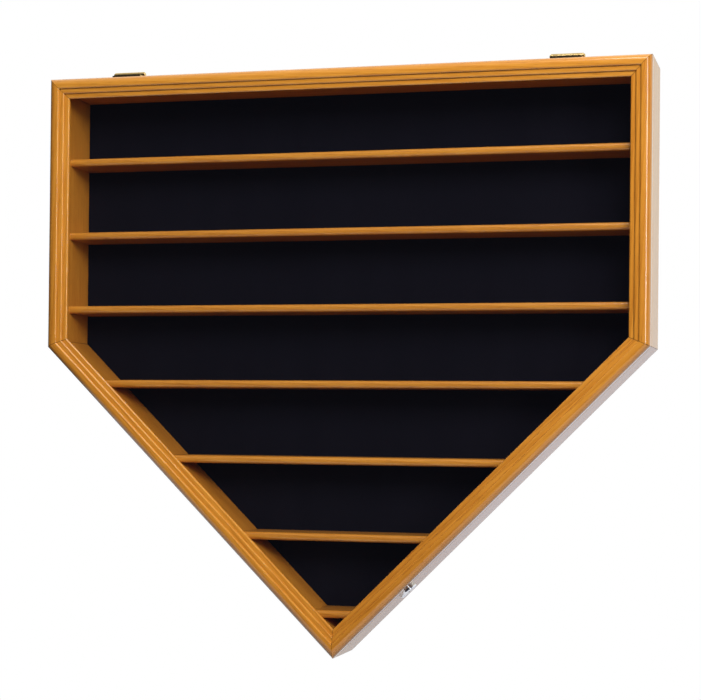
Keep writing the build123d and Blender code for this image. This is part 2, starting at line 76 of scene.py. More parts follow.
class Signal:
    """An output of a node tree, with the arithmetic that the finishes use."""

    def __init__(self, shader: "Shader", socket: bpy.types.NodeSocket) -> None:
        """Wrap one output socket of a shader."""
        self.shader = shader
        self.socket = socket

    def apply(self, operation: str, *others: object, clamp: bool = False) -> "Signal":
        """Math node on this signal.

        Args:
            operation: Name of the Math node's operation.
            others: The other operands, signals or numbers.
            clamp: Whether the result is kept between 0 and 1.

        Returns:
            The node's result.
        """
        sockets = dict(enumerate((self, *others)))
        return self.shader.signal("ShaderNodeMath", sockets, operation=operation, use_clamp=clamp)

    def __add__(self, other: object) -> "Signal":
        """Sum."""
        return self.apply("ADD", other)

    __radd__ = __add__

    def __mul__(self, other: object) -> "Signal":
        """Product."""
        return self.apply("MULTIPLY", other)

    __rmul__ = __mul__

    def __sub__(self, other: object) -> "Signal":
        """Difference."""
        return self.apply("SUBTRACT", other)

    def __rsub__(self, other: float) -> "Signal":
        """Difference from a number."""
        return (self * -1.0) + other

    def __truediv__(self, other: object) -> "Signal":
        """Quotient."""
        return self.apply("DIVIDE", other)

    def __pow__(self, other: float) -> "Signal":
        """Power."""
        return self.apply("POWER", other)

    def least(self, other: object) -> "Signal":
        """The smaller of two values."""
        return self.apply("MINIMUM", other)

    def size(self) -> "Signal":
        """Absolute value."""
        return self.apply("ABSOLUTE")

    def clipped(self) -> "Signal":
        """The value kept between 0 and 1."""
        return self.apply("ADD", 0.0, clamp=True)

    def above(self, low: float, high: float) -> "Signal":
        """Ramp from 0 at one value to 1 at another."""
        return ((self - low) / (high - low)).clipped()

    def near(self, place: float, reach: float) -> "Signal":
        """1 at a value, falling to 0 at a distance from it."""
        return (1.0 - (self - place).size() / reach).clipped()

    def about(self, share: float) -> "Signal":
        """A noise's swing about its middle, times a share."""
        return (self - MIDDLE) * share


class Shader:
    """Node tree of one material or of the world."""

    def __init__(self, owner: bpy.types.Material | bpy.types.World) -> None:
        """Empty the owner's node tree.

        Args:
            owner: The material or world that the nodes belong to.
        """
        owner.use_nodes = True
        self.tree = owner.node_tree
        self.tree.nodes.clear()

    def node(self, kind: str, sockets: dict | None = None, **settings: object) -> bpy.types.Node:
        """Add a node.

        Args:
            kind: Type of the node.
            sockets: Values or signals of its inputs, by name or number.
            settings: Its properties; stops are the places and colours of a ramp.

        Returns:
            The new node.
        """
        made = self.tree.nodes.new(kind)
        stops = settings.pop("stops", ())
        for name, value in settings.items():
            setattr(made, name, value)
        if stops:
            elements = made.color_ramp.elements
            while len(elements) < len(stops):
                elements.new(MIDDLE)
            for element, (place, colour) in zip(elements, stops):
                element.position = place
                element.color = rgba(colour)
        for name, value in (sockets or {}).items():
            if isinstance(value, Signal):
                self.tree.links.new(value.socket, made.inputs[name])
            else:
                made.inputs[name].default_value = value
        return made

    def signal(
        self, kind: str, sockets: dict | None = None, output: int | str = 0, **settings: object
    ) -> Signal:
        """Add a node and wrap one of its outputs."""
        return Signal(self, self.node(kind, sockets, **settings).outputs[output])

    def outputs(self, kind: str, sockets: dict | None = None) -> tuple[Signal, ...]:
        """Add a node and wrap all of its outputs."""
        return tuple(Signal(self, socket) for socket in self.node(kind, sockets).outputs)

    def rays(self, *kinds: str) -> Signal:
        """1 for any of the named kinds of ray, such as Camera or Glossy.

        Args:
            kinds: The kinds of ray.

        Returns:
            The mask.
        """
        path = self.node("ShaderNodeLightPath")
        masks = [Signal(self, path.outputs[f"Is {kind} Ray"]) for kind in kinds]
        total = masks[0]
        for mask in masks[1:]:
            total = total + mask
        return total.clipped()

    def object_place(self) -> Signal:
        """Place on the piece, in metres."""
        return self.signal("ShaderNodeTexCoord", output="Object")

    def noise(self, place: Signal, scale: Scale, detail: float = 2.0) -> Signal:
        """Noise between 0 and 1, stretched by a scale for each axis."""
        vector = self.signal("ShaderNodeVectorMath", {0: place, 1: scale}, operation="MULTIPLY")
        return self.signal("ShaderNodeTexNoise", {"Vector": vector, "Scale": 1.0, "Detail": detail})

    def blend(self, share: object, first: object, second: object) -> Signal:
        """Colour between two colours."""
        return self.signal("ShaderNodeMix", {0: share, 6: first, 7: second}, output=2, data_type="RGBA")

    def bump(self, height: Signal, depth: float, strength: float) -> Signal:
        """Surface normal of a fine relief."""
        return self.signal("ShaderNodeBump", {"Height": height, "Distance": depth, "Strength": strength})

    def principled(self, sockets: dict) -> None:
        """Principled surface as the tree's output."""
        surface = self.signal("ShaderNodeBsdfPrincipled", sockets)
        self.node("ShaderNodeOutputMaterial", {"Surface": surface})


@dataclass(frozen=True)
class Run:
    """One side of the outline: its start, its direction, and how its mitres slope."""

    start: Vector
    direction: Vector
    length: float
    start_slope: float
    end_slope: float

    def turn(self) -> float:
        """Angle about Y that lays the side along X."""
        return math.atan2(self.direction.z, self.direction.x)

    def inward(self) -> Vector:
        """Normal that points into the outline."""
        return Vector((self.direction.z, 0.0, -self.direction.x))

    def mapping(self) -> dict:
        """Sockets of a Mapping node that lays the side along X, from its start, with Z outward.

        Returns:
            The node's rotation and location.
        """
        turn = self.turn()
        along = -(self.start.x * math.cos(turn) + self.start.z * math.sin(turn))
        return {"Rotation": (0.0, turn, 0.0), "Location": (along, 0.0, self.start.dot(self.inward()))}


@dataclass(frozen=True)
class Outline:
    """Corners of the home plate, clockwise from the front."""

    corners: tuple[Vector, ...]

    @classmethod
    def from_frame(cls) -> "Outline":
        """Read the corners from the case's boards.

        Returns:
            The outline.
        """
        low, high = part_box("case_top_rail")
        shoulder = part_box("case_left_side")[0].z
        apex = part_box("case_left_diagonal")[0].z
        places = ((low.x, high.z), (high.x, high.z), (high.x, shoulder), (0.0, apex), (low.x, shoulder))
        return cls(tuple(Vector((x, 0.0, z)) for x, z in places))

    def runs(self) -> list[Run]:
        """Work out the five sides.

        Returns:
            The sides, from the top.
        """
        count = len(self.corners)
        spans = [self.corners[(i + 1) % count] - self.corners[i] for i in range(count)]
        directions = [span.normalized() for span in spans]
        slopes = [math.tan(directions[i - 1].angle(directions[i]) / 2) for i in range(count)]
        return [
            Run(self.corners[i], directions[i], spans[i].length, slopes[i], slopes[(i + 1) % count])
            for i in range(count)
        ]


@dataclass(frozen=True)
class DoorProfile:
    """Steps of the door's moulding, from its outer face and its front."""

    front: float
    edges: tuple[float, ...] = (13.0 * MM, 19.0 * MM)
    step: float = 3.0 * MM
    # Darkening at the foot of each step: partly real stain, partly painted shade.
    shade_and_stain_width: float = 0.9 * MM
    shade_and_stain_shift: float = 0.25
    shade_and_stain_depth: Ramp = (0.6, 0.1)
    shade_and_stain_strength: float = 0.05

    def stain_and_painted_shade(self, inset: Signal, depth: Signal) -> Signal:
        """Where the foot of each step is darker: partly real stain gathered there, partly painted shade
        under the step above.

        Args:
            inset: Distance from the door's outer face.
            depth: Place along the door's thickness.

        Returns:
            The mask of stain and painted shade, up to its strength.
        """
        total = None
        for number, edge in enumerate(self.edges, start=1):
            foot = self.front + number * self.step
            low = depth.above(*(foot - share * self.step for share in self.shade_and_stain_depth))
            mask = inset.near(edge + self.shade_and_stain_shift * self.shade_and_stain_width, self.shade_and_stain_width) * low
            total = mask if total is None else total + mask
        return total * self.shade_and_stain_strength


@dataclass(frozen=True)
class Grain:
    """The layers of one board's figure."""

    broad: Signal
    fibre: Signal
    streak: Signal
    fleck: Signal
    pores: Signal
    rings: Signal


@dataclass(frozen=True)
class OakFinish:
    """Oak stained to honey under gloss lacquer.

    Each scale and each seed is along the board, from front to back, and outward.
    """

    late_wood: Colour = (0.420, 0.138, 0.0095)
    middle: Colour = (0.590, 0.228, 0.0220)
    early_wood: Colour = (0.710, 0.310, 0.0400)
    pore: Colour = (0.170, 0.048, 0.0045)
    # Colour of the dark mitre joints, also used for the painted shade at the door's step feet.
    joint_and_shade: Colour = (0.060, 0.018, 0.0030)
    tones: tuple[float, float, float] = (0.0, 0.5, 1.0)
    lightness: float = 0.62
    broad_scale: Scale = (2.6, 34.0, 34.0)
    broad_share: float = 0.70
    streak_scale: Scale = (9.0, 260.0, 260.0)
    streak_share: float = 0.55
    fleck_scale: Scale = (55.0, 210.0, 210.0)
    fleck_share: float = 0.35
    fibre_scale: Scale = (17.0, 950.0, 950.0)
    fibre_detail: float = 3.0
    fibre_share: float = 0.45
    pore_scale: Scale = (85.0, 2300.0, 2300.0)
    pore_detail: float = 1.0
    pore_edge: Ramp = (0.60, 0.72)
    pore_share: float = 0.15
    pore_share_in_rings: float = 0.30
    ring_scale: float = 84.0
    ring_stretch: float = 0.05
    ring_drift: tuple[float, float] = (0.035, 0.02)
    ring_waves: tuple[float, float, float] = (5.0, 2.0, 0.35)
    ring_sharpness: float = 2.0
    ring_share: float = 0.30
    seed_start: Scale = (0.0, 0.02, 0.05)
    seed_step: Scale = (0.731, 0.173, 0.119)
    mitre: Ramp = (0.15 * MM, 0.55 * MM)
    mitre_share: float = 0.85
    lacquer: float = 1.0
    lacquer_least: float = 0.72
    lacquer_swing: float = 0.25
    lacquer_roughness: float = 0.12
    lacquer_ior: float = 1.6
    dust: float = 0.0
    dust_edge: Ramp = (0.1 * MM, 0.6 * MM)
    gloss: float = 0.2
    roughness: float = 0.42
    fibre_roughness: float = 0.16
    pore_roughness: float = 0.12
    relief: float = 0.16 * MM
    relief_strength: float = 0.35
    fibre_relief: float = 0.5
    ring_relief: float = 0.2
    pore_relief: float = 0.8

    def dress(
        self, name: str, run: Run, seed: int, profile: DoorProfile | None = None
    ) -> bpy.types.Material:
        """Material of one board, with its fibres along the board.

        Args:
            name: Name of the material.
            run: The board's place; its mitres are hairlines.
            seed: Number that picks the board's own figure.
            profile: The steps of the door's moulding, whose feet are darkened with stain and painted
                shade.

        Returns:
            The material.
        """
        material = bpy.data.materials.new(name)
        shader = Shader(material)
        board = shader.signal("ShaderNodeMapping", {"Vector": shader.object_place(), **run.mapping()})
        along, depth, outward = shader.outputs("ShaderNodeSeparateXYZ", {0: board})
        inset = outward * -1.0
        grain = self.grain(shader, board, seed)
        gap = (along - inset * run.start_slope).least(run.length - along - inset * run.end_slope)
        seam = (1.0 - gap.above(*self.mitre)) * self.mitre_share
        dusty = (1.0 - inset.above(*self.dust_edge)) * self.dust
        colour = shader.blend(seam, self.colour(shader, grain), rgba(self.joint_and_shade))
        if profile is not None:
            # Painted shade with some real stain: the foot of each step is darkened toward the joint
            # colour.
            colour = shader.blend(profile.stain_and_painted_shade(inset, depth), colour, rgba(self.joint_and_shade))
        height = grain.fibre * self.fibre_relief + grain.rings * self.ring_relief
        height = height - grain.pores * self.pore_relief - seam
        lacquer = grain.fibre * self.lacquer_swing + grain.streak * self.lacquer_swing
        lacquer = (lacquer + self.lacquer_least).clipped()
        rough = self.roughness + grain.fibre.about(self.fibre_roughness)
        shader.principled(
            {
                "Base Color": colour,
                "Specular IOR Level": self.gloss,
                "Roughness": rough + grain.pores * self.pore_roughness,
                "Normal": shader.bump(height, self.relief, self.relief_strength),
                "Coat Weight": lacquer * (1.0 - seam) * (1.0 - dusty) * self.lacquer,
                "Coat Roughness": self.lacquer_roughness,
                "Coat IOR": self.lacquer_ior,
            }
        )
        return material

    def grain(self, shader: Shader, board: Signal, seed: int) -> Grain:
        """The layers of a board's figure.

        Args:
            shader: The material's tree.
            board: Place on the board, along it from its start.
            seed: Number that picks the board's own figure.

        Returns:
            The layers.
        """
        shift = tuple(step * seed + start for start, step in zip(self.seed_start, self.seed_step))
        place = shader.signal("ShaderNodeVectorMath", {0: board, 1: shift}, operation="ADD")
        return Grain(
            broad=shader.noise(place, self.broad_scale),
            fibre=shader.noise(place, self.fibre_scale, self.fibre_detail),
            streak=shader.noise(place, self.streak_scale),
            fleck=shader.noise(place, self.fleck_scale),
            pores=shader.noise(place, self.pore_scale, self.pore_detail).above(*self.pore_edge),
            rings=self.rings(shader, place),
        )

    def rings(self, shader: Shader, place: Signal) -> Signal:
        """Growth rings about a pith beside the board, drifting along it.

        Args:
            shader: The material's tree.
            place: Place on the board.

        Returns:
            The rings, 0 to 1, with their dark edge at 1.
        """
        back, out = self.ring_drift
        drift = Matrix(((self.ring_stretch, 0.0, 0.0), (back, 1.0, 0.0), (out, 0.0, 1.0)))
        product = {"output": "Value", "operation": "DOT_PRODUCT"}
        rows = [
            shader.signal("ShaderNodeVectorMath", {0: place, 1: tuple(row)}, **product) for row in drift
        ]
        distortion, detail, detail_scale = self.ring_waves
        sockets = {
            "Vector": shader.signal("ShaderNodeCombineXYZ", dict(enumerate(rows))),
            "Scale": self.ring_scale,
            "Distortion": distortion,
            "Detail": detail,
            "Detail Scale": detail_scale,
        }
        settings = {"wave_type": "RINGS", "rings_direction": "X", "wave_profile": "SAW"}
        return shader.signal("ShaderNodeTexWave", sockets, output="Fac", **settings) ** self.ring_sharpness

    def colour(self, shader: Shader, grain: Grain) -> Signal:
        """Colour of the wood with its pores.

        Args:
            shader: The material's tree.
            grain: The layers of the board's figure.

        Returns:
            The colour.
        """
        figure = grain.broad.about(self.broad_share) + grain.streak.about(self.streak_share)
        figure = figure + grain.fleck.about(self.fleck_share) + grain.fibre.about(self.fibre_share)
        tone = self.lightness + figure - grain.rings * self.ring_share
        stops = tuple(zip(self.tones, (self.late_wood, self.middle, self.early_wood)))
        wood = shader.signal("ShaderNodeValToRGB", {"Fac": tone.clipped()}, stops=stops)
        pores = grain.pores * (self.pore_share + grain.rings * self.pore_share_in_rings)
        return shader.blend(pores, wood, rgba(self.pore))


@dataclass(frozen=True)
class MetalFinish:
    """Polished, plated or brushed metal."""

    colour: Colour
    tarnish: Colour
    roughness: float
    wear: float = 0.10
    cloud_scale: Scale = (140.0, 140.0, 140.0)
    cloud_detail: float = 3.0
    tarnish_edge: Ramp = (0.45, 0.75)
    tarnish_share: float = 0.7
    brushing: Scale = (900.0, 900.0, 900.0)
    relief: float = 0.03 * MM
    relief_strength: float = 0.25

    def dress(self, name: str) -> bpy.types.Material:
        """Material of this metal, with its tarnish and fine scratches.

        Args:
            name: Name of the material.

        Returns:
            The material.
        """
        material = bpy.data.materials.new(name)
        shader = Shader(material)
        place = shader.object_place()
        cloud = shader.noise(place, self.cloud_scale, self.cloud_detail)
        scratch = shader.noise(place, self.brushing)
        tarnished = cloud.above(*self.tarnish_edge) * self.tarnish_share
        shader.principled(
            {
                "Base Color": shader.blend(tarnished, rgba(self.colour), rgba(self.tarnish)),
                "Metallic": 1.0,
                "Roughness": self.roughness + scratch.about(self.wear) + cloud * (self.wear / 2),
                "Normal": shader.bump(scratch, self.relief, self.relief_strength),
            }
        )
        return material


@dataclass(frozen=True)
class FeltFinish:
    """Black felt with a short brushed nap."""

    dark: Colour = (0.0026, 0.0027, 0.0052)
    pale: Colour = (0.0066, 0.0064, 0.0110)
    fibre_scale: Scale = (900.0, 900.0, 900.0)
    fibre_detail: float = 4.0
    lean_scale: Scale = (22.0, 5.0, 3.5)
    lean_detail: float = 3.0
    share: float = 0.6
    shade: float = 0.1
    roughness: float = 0.92
    fibre_roughness: float = 0.08
    nap: float = 0.25 * MM
    nap_strength: float = 0.8
    gloss: float = 0.06
    sheen: float = 0.02
    sheen_roughness: float = 0.5

    def dress(self, name: str) -> bpy.types.Material:
        """Material of the felt: matted fibres and faint upright bands where the nap leans.

        Args:
            name: Name of the material.

        Returns:
            The material.
        """
        material = bpy.data.materials.new(name)
        shader = Shader(material)
        place = shader.object_place()
        fibres = shader.noise(place, self.fibre_scale, self.fibre_detail)
        lean = shader.noise(place, self.lean_scale, self.lean_detail)
        tone = (fibres * self.share + lean * self.share - self.shade).clipped()
        shader.principled(
            {
                "Base Color": shader.blend(tone, rgba(self.dark), rgba(self.pale)),
                "Roughness": self.roughness + fibres * self.fibre_roughness,
                "Normal": shader.bump(fibres, self.nap, self.nap_strength),
                "Specular IOR Level": self.gloss,
                "Sheen Weight": self.sheen,
                "Sheen Roughness": self.sheen_roughness,
            }
        )
        return material


@dataclass(frozen=True)
class AcrylicFinish:
    """Clear acrylic: it shows only what it reflects, more of it the more slanting the view."""

    tint: Colour = (0.96, 0.98, 1.0)
    head_on: float = 0.039
    rise: float = 5.0
    facing_blend: float = 0.5
    haze: float = 0.003
    wipe_scale: Scale = (6.0, 6.0, 22.0)
    wipe_detail: float = 3.0
    wipe_roughness: float = 0.05

    def dress(self, name: str) -> bpy.types.Material:
        """Material of the clear panel, with faint wiping marks in its gloss.

        Args:
            name: Name of the material.

        Returns:
            The material.
        """
        material = bpy.data.materials.new(name)
        shader = Shader(material)
        wipes = shader.noise(shader.object_place(), self.wipe_scale, self.wipe_detail)
        slant = shader.signal("ShaderNodeLayerWeight", {"Blend": self.facing_blend}, output="Facing")
        mirror = (slant ** self.rise) * (1.0 - self.head_on) + self.head_on
        shader.principled(
            {
                "Base Color": rgba(self.tint),
                "Metallic": 1.0,
                "Roughness": wipes * self.wipe_roughness,
                "Alpha": (mirror + self.haze).clipped(),
            }
        )
        return material


@dataclass(frozen=True)
class BoardFinish:
    """Pressed brown hardboard of the back."""

    dark: Colour = (0.115, 0.062, 0.030)
    pale: Colour = (0.235, 0.140, 0.075)
    cloud_scale: Scale = (14.0, 14.0, 14.0)
    fibre_scale: Scale = (420.0, 420.0, 420.0)
    detail: float = 4.0
    share: float = 0.7
    shade: float = 0.2
    speck_scale: Scale = (190.0, 190.0, 190.0)
    speck_detail: float = 1.0
    speck_edge: Ramp = (0.66, 0.74)
    speck_share: float = 0.35
    roughness: float = 0.55
    fibre_roughness: float = 0.25
    relief: float = 0.2 * MM
    relief_strength: float = 0.5
    gloss: float = 0.35

    def dress(self, name: str) -> bpy.types.Material:
        """Material of the back panel: matted fibres with darker specks.

        Args:
            name: Name of the material.

        Returns:
            The material.
        """
        material = bpy.data.materials.new(name)
        shader = Shader(material)
        place = shader.object_place()
        cloud = shader.noise(place, self.cloud_scale, self.detail)
        fibres = shader.noise(place, self.fibre_scale, self.detail)
        specks = shader.noise(place, self.speck_scale, self.speck_detail).above(*self.speck_edge)
        tone = fibres * self.share + cloud * self.share - self.shade - specks * self.speck_share
        shader.principled(
            {
                "Base Color": shader.blend(tone.clipped(), rgba(self.dark), rgba(self.pale)),
                "Roughness": self.roughness + fibres * self.fibre_roughness,
                "Normal": shader.bump(fibres, self.relief, self.relief_strength),
                "Specular IOR Level": self.gloss,
            }
        )
        return material


@dataclass(frozen=True)
class RubberFinish:
    """Cloudy grey rubber."""

    dark: Colour = (0.30, 0.29, 0.27)
    pale: Colour = (0.46, 0.45, 0.42)
    cloud_scale: Scale = (260.0, 260.0, 260.0)
    cloud_detail: float = 3.0
    dust_scale: Scale = (2400.0, 2400.0, 2400.0)
    roughness: float = 0.35
    dust_roughness: float = 0.3
    relief: float = 0.05 * MM
    relief_strength: float = 0.4

    def dress(self, name: str) -> bpy.types.Material:
        """Material of the bumpers: cloudy, with dust that has stuck to it.

        Args:
            name: Name of the material.

        Returns:
            The material.
        """
        material = bpy.data.materials.new(name)
        shader = Shader(material)
        place = shader.object_place()
        cloud = shader.noise(place, self.cloud_scale, self.cloud_detail)
        dust = shader.noise(place, self.dust_scale)
        shader.principled(
            {
                "Base Color": shader.blend(cloud, rgba(self.dark), rgba(self.pale)),
                "Roughness": self.roughness + dust * self.dust_roughness,
                "Normal": shader.bump(dust, self.relief, self.relief_strength),
            }
        )
        return material


class Metal(Enum):
    """The metals on the cabinet."""

    HINGE_BRASS = MetalFinish((0.80, 0.59, 0.26), (0.52, 0.34, 0.11), 0.22)
    SCREW_BRASS = MetalFinish((0.80, 0.61, 0.30), (0.50, 0.34, 0.13), 0.28)
    CHROME = MetalFinish((0.82, 0.84, 0.88), (0.66, 0.68, 0.74), 0.07, wear=0.05)
    NICKEL = MetalFinish((0.70, 0.68, 0.63), (0.50, 0.48, 0.44), 0.22)
    STEEL = MetalFinish((0.56, 0.56, 0.57), (0.36, 0.35, 0.34), 0.34)
    ZINC = MetalFinish((0.68, 0.69, 0.66), (0.58, 0.54, 0.40), 0.38, wear=0.2)


def start_afresh() -> None:
    """Object mode with nothing selected."""
    if bpy.context.object and bpy.context.object.mode != "OBJECT":
        bpy.ops.object.mode_set(mode="OBJECT")
    bpy.ops.object.select_all(action="DESELECT")


def fix_place() -> None:
    """Move the active piece's place, turn and scale into its mesh."""
    bpy.ops.object.transform_apply(location=True, rotation=True, scale=True)


def wear_finish(node: str, material: bpy.types.Material) -> None:
    """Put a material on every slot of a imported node."""
    for place in bpy.data.objects[node].material_slots:
        place.material = material


def settle(piece: bpy.types.Object, name: str, material: bpy.types.Material) -> bpy.types.Object:
    """Name a finished piece, move its place into its mesh and give it its material.

    Args:
        piece: The piece.
        name: Its name.
        material: Its material.

    Returns:
        The same piece.
    """
    start_afresh()
    piece.name = name
    piece.data.name = name
    piece.select_set(True)
    bpy.context.view_layer.objects.active = piece
    fix_place()
    piece.data.materials.clear()
    piece.data.materials.append(material)
    piece.select_set(False)
    return piece


@dataclass
class FeltLining:
    """Black felt glued to the front of the back panel."""

    thickness: float = 1.3 * MM
    cells: int = 110
    pucker: float = 0.10 * MM
    coarse_pucker: tuple[float, float] = (30.0, 9.0)
    fine_pucker: tuple[float, float] = (75.0, 60.0)
    fine_share: float = 0.6
    fine_level: float = 4.0
    smooth_below: float = math.radians(40.0)
    finish: FeltFinish = field(default_factory=FeltFinish)

    def build(self) -> bpy.types.Object:
        """The felt as one sheet, cut to the home plate outline and slightly puckered by its glue.

        Returns:
            The finished piece.
        """
        low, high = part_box("felt_lining")
        sheet = self.cut(low, high)
        for vertex in sheet.data.vertices:
            vertex.co.y += self.pucker * (self.swell(vertex.co.x, vertex.co.z) - 1.0)
        backing = sheet.modifiers.new("thickness", "SOLIDIFY")
        backing.thickness = self.thickness
        backing.offset = 1.0
        bpy.ops.object.modifier_apply(modifier=backing.name)
        bpy.ops.object.shade_smooth_by_angle(angle=self.smooth_below)
        settle(sheet, "felt_sheet", self.finish.dress("black_felt"))
        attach(sheet, "case")
        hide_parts("felt_lining")
        return sheet

    def cut(self, low: Vector, high: Vector) -> bpy.types.Object:
        """Flat sheet with its two lower corners cut off.

        Args:
            low: Lowest corner of the lining's box.
            high: Highest corner of the lining's box.

        Returns:
            The sheet, one face thick.
        """
        start_afresh()
        bpy.ops.mesh.primitive_grid_add(
            x_subdivisions=self.cells,
            y_subdivisions=self.cells,
            size=1.0,
            location=(0.0, high.y, (low.z + high.z) / 2),
            rotation=(QUARTER_TURN, 0.0, 0.0),
        )
        sheet = bpy.context.object
        sheet.scale = (high.x - low.x, high.z - low.z, 1.0)
        fix_place()
        bpy.ops.object.mode_set(mode="EDIT")
        for side in (-1.0, 1.0):
            bpy.ops.mesh.select_all(action="SELECT")
            bpy.ops.mesh.bisect(
                plane_co=(0.0, high.y, low.z), plane_no=(side, 0.0, -1.0), clear_outer=True
            )
        bpy.ops.object.mode_set(mode="OBJECT")
        return sheet

    def swell(self, x: float, z: float) -> float:
        """Height of the pucker at a place on the sheet, in shares of the pucker.

        Args:
            x: Place across the sheet.
            z: Place up the sheet.

        Returns:
            The height.
        """
        coarse = Vector((x * self.coarse_pucker[0], 0.0, z * self.coarse_pucker[1]))
        fine = Vector((x * self.fine_pucker[0], self.fine_level, z * self.fine_pucker[1]))
        return noise.noise(coarse) + self.fine_share * noise.noise(fine)


@dataclass
class DoorBumpers:
    """Domed rubber dots between the door and the case."""

    radius: float = 4.0 * MM
    apart: float = 12.0 * MM
    rim: float = 0.35 * MM
    rim_segments: int = 4
    sides: int = 40
    smooth_below: float = math.radians(50.0)
    finish: RubberFinish = field(default_factory=RubberFinish)

    def build(self) -> bpy.types.Object:
        """One dot is modelled and then copied to every place.

        Returns:
            The finished piece.
        """
        low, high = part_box("door_bumpers")
        height = high.y - low.y
        dot = self.model_dot(height)
        copies = []
        for middle in self.places():
            copy = dot.copy()
            copy.data = dot.data.copy()
            copy.location = middle + Vector((0.0, height / 2, 0.0))
            bpy.context.collection.objects.link(copy)
            copies.append(copy)
        bpy.data.objects.remove(dot)
        start_afresh()
        for copy in copies:
            copy.select_set(True)
        bpy.context.view_layer.objects.active = copies[0]
        bpy.ops.object.join()
        bumpers = settle(bpy.context.object, "bumper_dots", self.finish.dress("bumper_rubber"))
        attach(bumpers, "door")
        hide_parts("door_bumpers")
        return bumpers

    def model_dot(self, height: float) -> bpy.types.Object:
        """A dot about the origin, along Y, with its back rim rounded.

        Args:
            height: Its thickness.

        Returns:
            The dot.
        """
        start_afresh()
        bpy.ops.mesh.primitive_cylinder_add(
            vertices=self.sides,
            radius=self.radius,
            depth=height,
            rotation=(-QUARTER_TURN, 0.0, 0.0),
        )
        dot = bpy.context.object
        fix_place()
        bpy.ops.object.mode_set(mode="EDIT")
        bpy.ops.mesh.select_all(action="DESELECT")
        bpy.ops.object.mode_set(mode="OBJECT")
        for edge in dot.data.edges:
            edge.select = all(dot.data.vertices[i].co.y > 0.0 for i in edge.vertices)
        bpy.ops.object.mode_set(mode="EDIT")
        bpy.ops.mesh.select_mode(type="EDGE")
        bpy.ops.mesh.bevel(offset=self.rim, segments=self.rim_segments)
        bpy.ops.object.mode_set(mode="OBJECT")
        bpy.ops.object.shade_smooth_by_angle(angle=self.smooth_below)
        return dot

    def places(self) -> list[Vector]:
        """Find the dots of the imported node.

        Returns:
            Middle of each dot's front, where it sticks to the door.
        """
        found: list[list[Vector]] = []
        for vertex in bpy.data.objects["door_bumpers"].data.vertices:
            point = vertex.co.copy()
            group = next((g for g in found if (g[0] - point).length < self.apart), None)
            if group is None:
                found.append([point])
            else:
                group.append(point)
        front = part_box("door_bumpers")[0].y
        middles = []
        for group in found:
            xs = [point.x for point in group]
            zs = [point.z for point in group]
            middles.append(Vector(((min(xs) + max(xs)) / 2, front, (min(zs) + max(zs)) / 2)))
        return middles


@dataclass(frozen=True)
class Side:
    """What stands on one side of the home plate, and how the door's member there looks, painted light and
    shade included.
    """

    case_board: str
    door_member: str
    strip: str
    # Partly the board's own tone, partly painted light: the top rail lighter and the right stile darker.
    lightness: float
    # Strength of the darkening at the step feet: partly real stain, partly painted shade.
    stain_and_painted_shade: float = 0.05
    dust: float = 0.0


@dataclass
class Woodwork:
    """Case, shelves, door and retaining strips, all in oak."""

    outline: Outline
    door_oak: OakFinish = field(default_factory=OakFinish)
    case_oak: OakFinish = field(default_factory=lambda: OakFinish(lacquer_roughness=0.26))
    dusty_oak: OakFinish = field(
        default_factory=lambda: OakFinish(
            lacquer=0.25, lacquer_roughness=0.5, gloss=0.05, roughness=0.75
        )
    )
    strip_oak: OakFinish = field(default_factory=lambda: OakFinish(lacquer=0.3, ring_scale=120.0))
    # Lightness per member is partly painted light; stain is strongest as painted shade on the top rail and
    # right stile.
    sides: tuple[Side, ...] = (
        Side("top_rail", "top_rail", "top", lightness=0.74, stain_and_painted_shade=0.35, dust=0.9),
        Side("right_side", "right_stile", "right", lightness=0.47, stain_and_painted_shade=0.35),
        Side("right_diagonal", "right_diagonal", "lower_right", lightness=0.54, stain_and_painted_shade=0.08),
        Side("left_diagonal", "left_diagonal", "lower_left", lightness=0.59),
        Side("left_side", "left_stile", "left", lightness=0.62),
    )
    shelves: int = 7
    shelf_seed: int = 20

    def dress(self) -> None:
        """Give every board its own figure, with the fibres along it."""
        self.dress_sides()
        self.dress_shelves()

    def dress_sides(self) -> None:
        """Dress the case's boards, the door's members and the strips, side by side."""
        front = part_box("door_top_rail")[0].y
        for number, (side, run) in enumerate(zip(self.sides, self.outline.runs())):
            case_oak = self.dusty_oak if side.dust else self.case_oak
            door_oak = replace(self.door_oak, lightness=side.lightness, dust=side.dust)
            boards = (
                (f"case_{side.case_board}", case_oak, None),
                (f"door_{side.door_member}", door_oak, DoorProfile(front, shade_and_stain_strength=side.stain_and_painted_shade)),
                (f"retainer_{side.strip}", self.strip_oak, None),
            )
            for seed, (name, oak, profile) in enumerate(boards, start=len(boards) * number + 1):
                wear_finish(name, oak.dress(f"oak_{name}", run, seed, profile))

    def dress_shelves(self) -> None:
        """Dress the shelves, whose ends have no mitres."""
        for number in range(1, self.shelves + 1):
            name = f"shelf_{number}"
            low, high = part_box(name)
            run = Run(Vector((low.x, 0.0, high.z)), Vector((1.0, 0.0, 0.0)), high.x - low.x, 0.0, 0.0)
            wear_finish(name, self.case_oak.dress(f"oak_{name}", run, self.shelf_seed + number))


